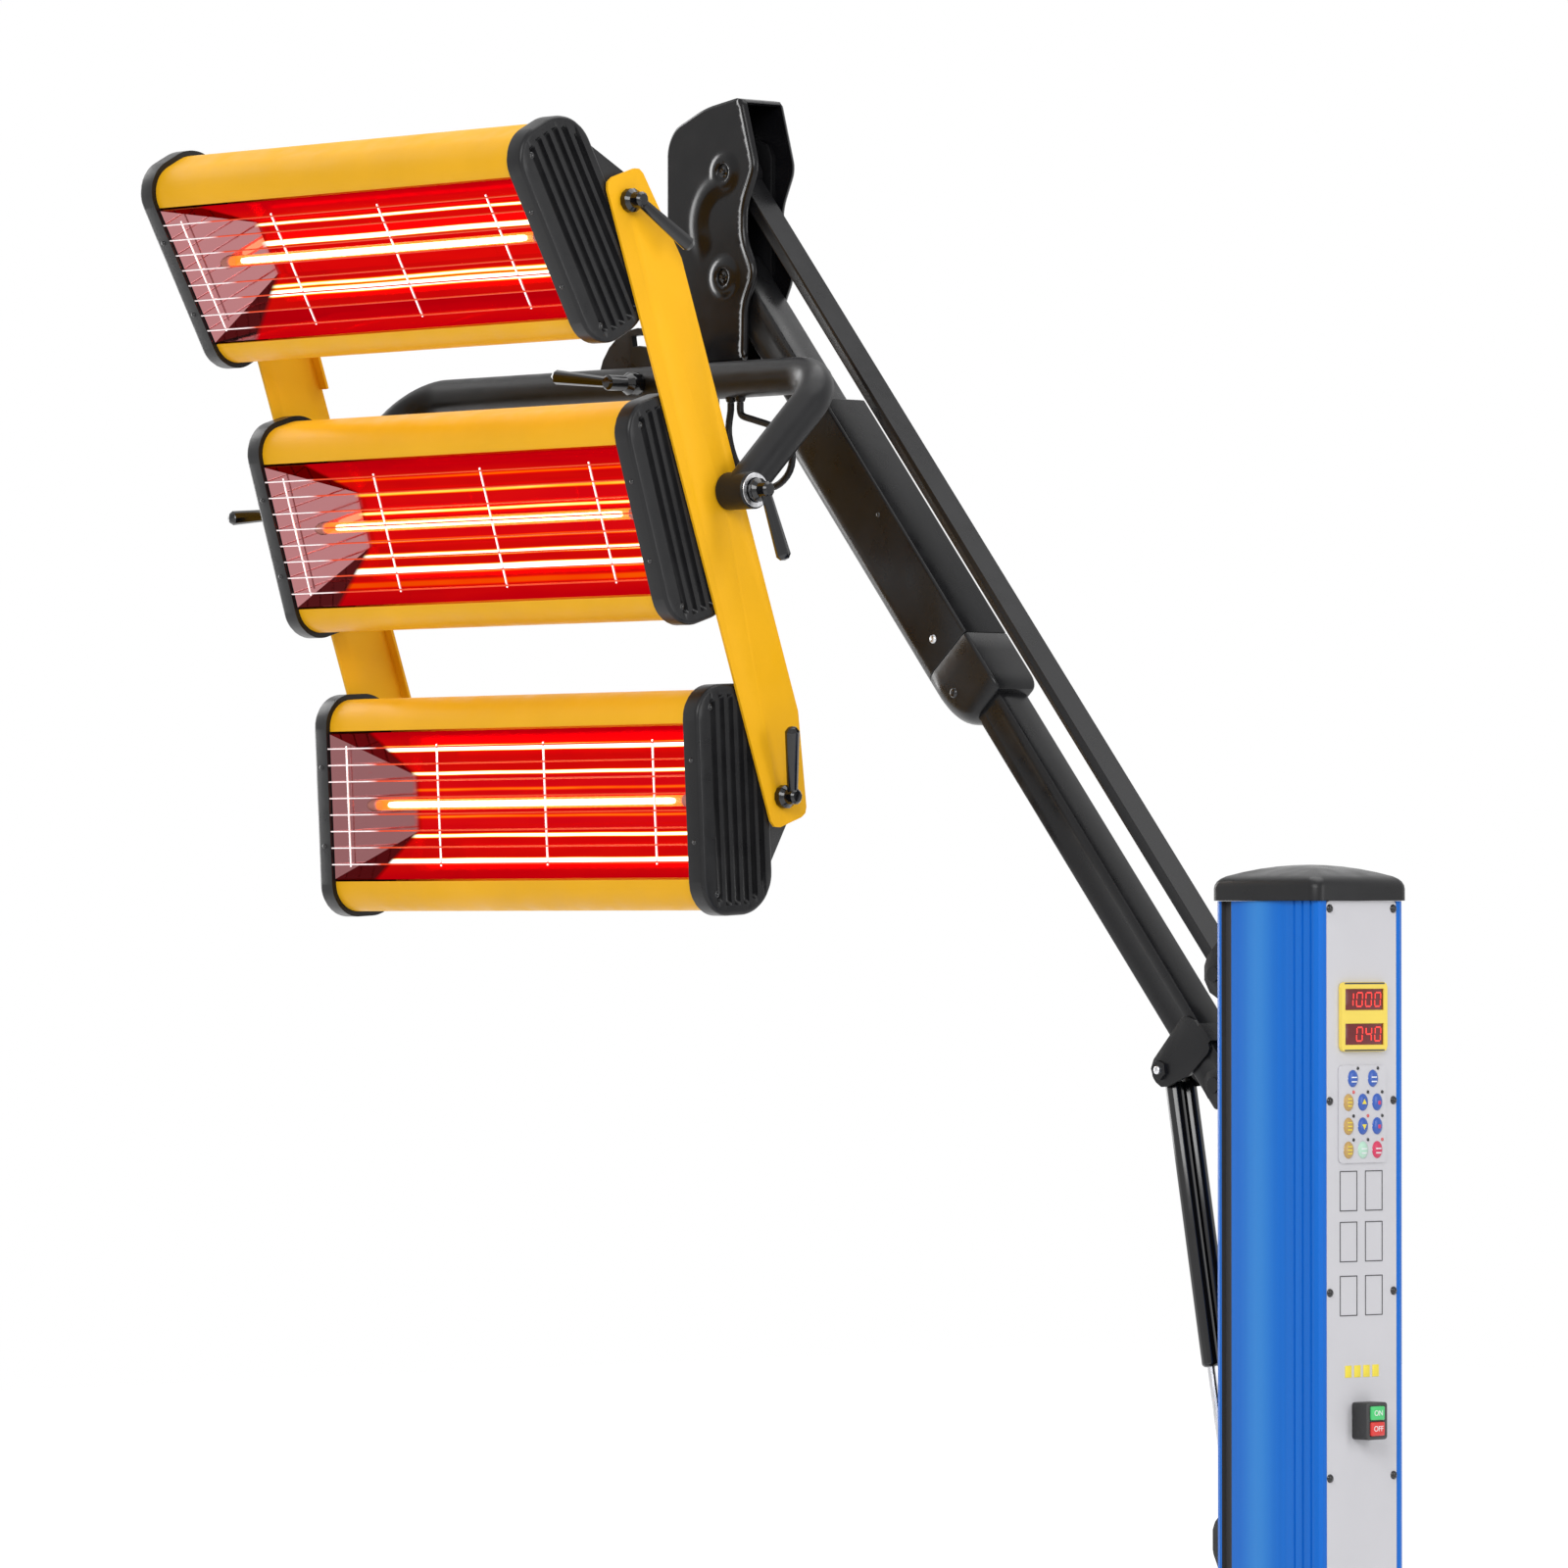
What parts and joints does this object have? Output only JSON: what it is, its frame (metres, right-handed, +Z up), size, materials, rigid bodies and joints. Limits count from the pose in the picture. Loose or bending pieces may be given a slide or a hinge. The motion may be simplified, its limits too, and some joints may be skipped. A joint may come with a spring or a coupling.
{
  "type": "infrared paint curing lamp",
  "caption": "Wheeled workshop stand with a control column, a parallelogram lift arm, a tubular yoke and a tilting frame of infrared emitter cassettes with wire guards.",
  "frame": {"origin": "on the floor, at the centre of the lamp's overall footprint as shown", "axes": "+Z up, -X from the column towards the lamps, -Y the way the cassettes shine, +X the side with the control panel"},
  "size_m": [1.4964, 0.8454, 2.1555],
  "materials": {
    "black_steel": "satin",
    "black_plastic": "matte",
    "yellow_paint": "satin",
    "blue_extrusion": "satin",
    "pale_panel": "satin",
    "display": "satin",
    "keys": "satin",
    "green_button": "satin",
    "red_button": "satin",
    "dark_grey_steel": "satin",
    "dark_grey_plastic": "satin",
    "bright_steel": "satin",
    "tyre_grey": "matte",
    "reflector_gold": "polished",
    "lead_black": "matte",
    "quartz_glow": "gloss"
  },
  "bodies": {
    "stand": {"leg_left": "black_steel", "leg_right": "black_steel", "cross_beam": "black_steel", "column_profile": "blue_extrusion", "column_cap": "black_plastic", "control_panel": "pale_panel", "display_bezel": "display", "keypad": "keys", "switch_body": "black_plastic", "rear_bracket": "dark_grey_steel"},
    "on_button": {"on_button": "green_button"},
    "off_button": {"off_button": "red_button"},
    "arm": {"main_arm": "dark_grey_steel", "arm_housing": "dark_grey_plastic", "housing_end_cap": "dark_grey_plastic", "spring_bracket": "dark_grey_steel"},
    "link": {"upper_link": "dark_grey_steel"},
    "spring_rods": {"spring_rod_left": "bright_steel", "spring_rod_right": "bright_steel"},
    "spring_cylinders": {"spring_cylinder_left": "black_steel", "spring_cylinder_right": "black_steel"},
    "head": {"head_block": "dark_grey_steel", "head_cover_near": "dark_grey_plastic", "head_cover_far": "dark_grey_plastic"},
    "swivel": {"swivel_arm": "dark_grey_steel"},
    "yoke": {"yoke": "black_steel", "yoke_lead": "lead_black"},
    "yoke_lock_lever": {"yoke_lock_lever": "black_plastic"},
    "yoke_lever_right": {"yoke_lever_right": "black_plastic"},
    "yoke_lever_left": {"yoke_lever_left": "black_plastic"},
    "lamp_frame": {"side_bar_left": "yellow_paint", "side_bar_right": "yellow_paint"},
    "top_cassette_lever": {"top_cassette_lever": "black_plastic"},
    "bottom_cassette_lever": {"bottom_cassette_lever": "black_plastic"},
    "cassette_top": {"shell_top": "yellow_paint", "cap_left_top": "black_plastic", "cap_right_top": "black_plastic", "reflector_top": "reflector_gold", "guard_top": "bright_steel", "emitter_top": "quartz_glow"},
    "cassette_middle": {"shell_middle": "yellow_paint", "cap_left_middle": "black_plastic", "cap_right_middle": "black_plastic", "reflector_middle": "reflector_gold", "guard_middle": "bright_steel", "emitter_middle": "quartz_glow"},
    "cassette_bottom": {"shell_bottom": "yellow_paint", "cap_left_bottom": "black_plastic", "cap_right_bottom": "black_plastic", "reflector_bottom": "reflector_gold", "guard_bottom": "bright_steel", "emitter_bottom": "quartz_glow"},
    "caster_fork_front_left": {"caster_fork_front_left": "bright_steel"},
    "caster_wheel_front_left": {"caster_wheel_front_left": "tyre_grey"},
    "caster_fork_front_right": {"caster_fork_front_right": "bright_steel"},
    "caster_wheel_front_right": {"caster_wheel_front_right": "tyre_grey"},
    "caster_fork_rear_left": {"caster_fork_rear_left": "bright_steel"},
    "caster_wheel_rear_left": {"caster_wheel_rear_left": "tyre_grey"},
    "caster_fork_rear_right": {"caster_fork_rear_right": "bright_steel"},
    "caster_wheel_rear_right": {"caster_wheel_rear_right": "tyre_grey"}
  },
  "joints": [
    {"name": "lift", "type": "hinge", "parent": "stand", "child": "arm", "pos_m": [0.41853, 0.09272, 1.142], "axis": [0, 1, 0], "range_deg": [-65, 12]},
    {"name": "link_follow", "type": "hinge", "parent": "stand", "child": "link", "pos_m": [0.41853, 0.09272, 1.2506], "axis": [0, 1, 0], "range_deg": [-65, 12]},
    {"name": "head_level", "type": "hinge", "parent": "arm", "child": "head", "pos_m": [-0.28742, 0.09271, 1.96856], "axis": [0, 1, 0], "range_deg": [-12, 65]},
    {"name": "spring_swing", "type": "hinge", "parent": "stand", "child": "spring_rods", "pos_m": [0.42953, 0.09272, 0.7], "axis": [0, 1, 0], "range_deg": [-0.4, 1.8]},
    {"name": "spring_slide", "type": "slide", "parent": "spring_rods", "child": "spring_cylinders", "axis": [-0.1812, 0, 0.9834], "range_m": [-0.0785, 0.0145]},
    {"name": "pan", "type": "hinge", "parent": "head", "child": "swivel", "pos_m": [-0.34692, 0.09271, 1.96856], "axis": [0, 0, 1], "range_deg": [-190, 10]},
    {"name": "roll", "type": "hinge", "parent": "swivel", "child": "yoke", "pos_m": [-0.34692, -0.02529, 1.85416], "axis": [0, 1, 0], "range_deg": [-90, 90]},
    {"name": "frame_tilt", "type": "hinge", "parent": "yoke", "child": "lamp_frame", "pos_m": [-0.34692, -0.15029, 1.73216], "axis": [1, 0, 0], "range_deg": [-49.5, 16.5]},
    {"name": "cassette_tilt_top", "type": "hinge", "parent": "lamp_frame", "child": "cassette_top", "pos_m": [-0.34692, -0.28365, 2.01592], "axis": [-1, 0, 0], "range_deg": [-25, 25]},
    {"name": "cassette_tilt_middle", "type": "hinge", "parent": "lamp_frame", "child": "cassette_middle", "pos_m": [-0.34692, -0.15029, 1.73216], "axis": [-1, 0, 0], "range_deg": [-20, 20]},
    {"name": "cassette_tilt_bottom", "type": "hinge", "parent": "lamp_frame", "child": "cassette_bottom", "pos_m": [-0.34692, -0.07536, 1.42771], "axis": [-1, 0, 0], "range_deg": [-35, 18]},
    {"name": "yoke_lock_lever_turn", "type": "hinge", "parent": "yoke", "child": "yoke_lock_lever", "pos_m": [-0.29792, -0.04459, 1.85416], "axis": [0, 1, 0], "range_deg": [-90, 90]},
    {"name": "yoke_lever_right_turn", "type": "hinge", "parent": "yoke", "child": "yoke_lever_right", "pos_m": [-0.00642, -0.15029, 1.73216], "axis": [1, 0, 0], "range_deg": [-90, 90]},
    {"name": "yoke_lever_left_turn", "type": "hinge", "parent": "yoke", "child": "yoke_lever_left", "pos_m": [-0.68742, -0.15029, 1.73216], "axis": [-1, 0, 0], "range_deg": [-90, 90]},
    {"name": "top_cassette_lever_turn", "type": "hinge", "parent": "lamp_frame", "child": "top_cassette_lever", "pos_m": [-0.04632, -0.28365, 2.01592], "axis": [1, 0, 0], "range_deg": [-90, 90]},
    {"name": "bottom_cassette_lever_turn", "type": "hinge", "parent": "lamp_frame", "child": "bottom_cassette_lever", "pos_m": [-0.04632, -0.07536, 1.42771], "axis": [1, 0, 0], "range_deg": [-90, 90]},
    {"name": "caster_swivel_front_left", "type": "hinge", "parent": "stand", "child": "caster_fork_front_left", "pos_m": [-0.24647, -0.20728, 0.098], "axis": [0, 0, 1], "continuous": true},
    {"name": "wheel_spin_front_left", "type": "hinge", "parent": "caster_fork_front_left", "child": "caster_wheel_front_left", "pos_m": [-0.21847, -0.20728, 0.0375], "axis": [0, 1, 0], "continuous": true},
    {"name": "caster_swivel_front_right", "type": "hinge", "parent": "stand", "child": "caster_fork_front_right", "pos_m": [-0.24647, 0.39272, 0.098], "axis": [0, 0, 1], "continuous": true},
    {"name": "wheel_spin_front_right", "type": "hinge", "parent": "caster_fork_front_right", "child": "caster_wheel_front_right", "pos_m": [-0.21847, 0.39272, 0.0375], "axis": [0, 1, 0], "continuous": true},
    {"name": "caster_swivel_rear_left", "type": "hinge", "parent": "stand", "child": "caster_fork_rear_left", "pos_m": [0.68353, -0.20728, 0.098], "axis": [0, 0, 1], "continuous": true},
    {"name": "wheel_spin_rear_left", "type": "hinge", "parent": "caster_fork_rear_left", "child": "caster_wheel_rear_left", "pos_m": [0.71153, -0.20728, 0.0375], "axis": [0, 1, 0], "continuous": true},
    {"name": "caster_swivel_rear_right", "type": "hinge", "parent": "stand", "child": "caster_fork_rear_right", "pos_m": [0.68353, 0.39272, 0.098], "axis": [0, 0, 1], "continuous": true},
    {"name": "wheel_spin_rear_right", "type": "hinge", "parent": "caster_fork_rear_right", "child": "caster_wheel_rear_right", "pos_m": [0.71153, 0.39272, 0.0375], "axis": [0, 1, 0], "continuous": true},
    {"name": "on_button_press", "type": "slide", "parent": "stand", "child": "on_button", "axis": [-1, 0, 0], "range_m": [0, 0.0025], "stiffness_N_per_m": 400},
    {"name": "off_button_press", "type": "slide", "parent": "stand", "child": "off_button", "axis": [-1, 0, 0], "range_m": [0, 0.0025], "stiffness_N_per_m": 400}
  ],
  "couplings": [
    {"joint": "link_follow", "follows": "lift", "ratio": 1},
    {"joint": "head_level", "follows": "lift", "ratio": -1},
    {"joint": "spring_swing", "follows": "lift", "ratio": -0.026},
    {"joint": "spring_slide", "follows": "lift", "m_per_rad": 0.06875}
  ]
}
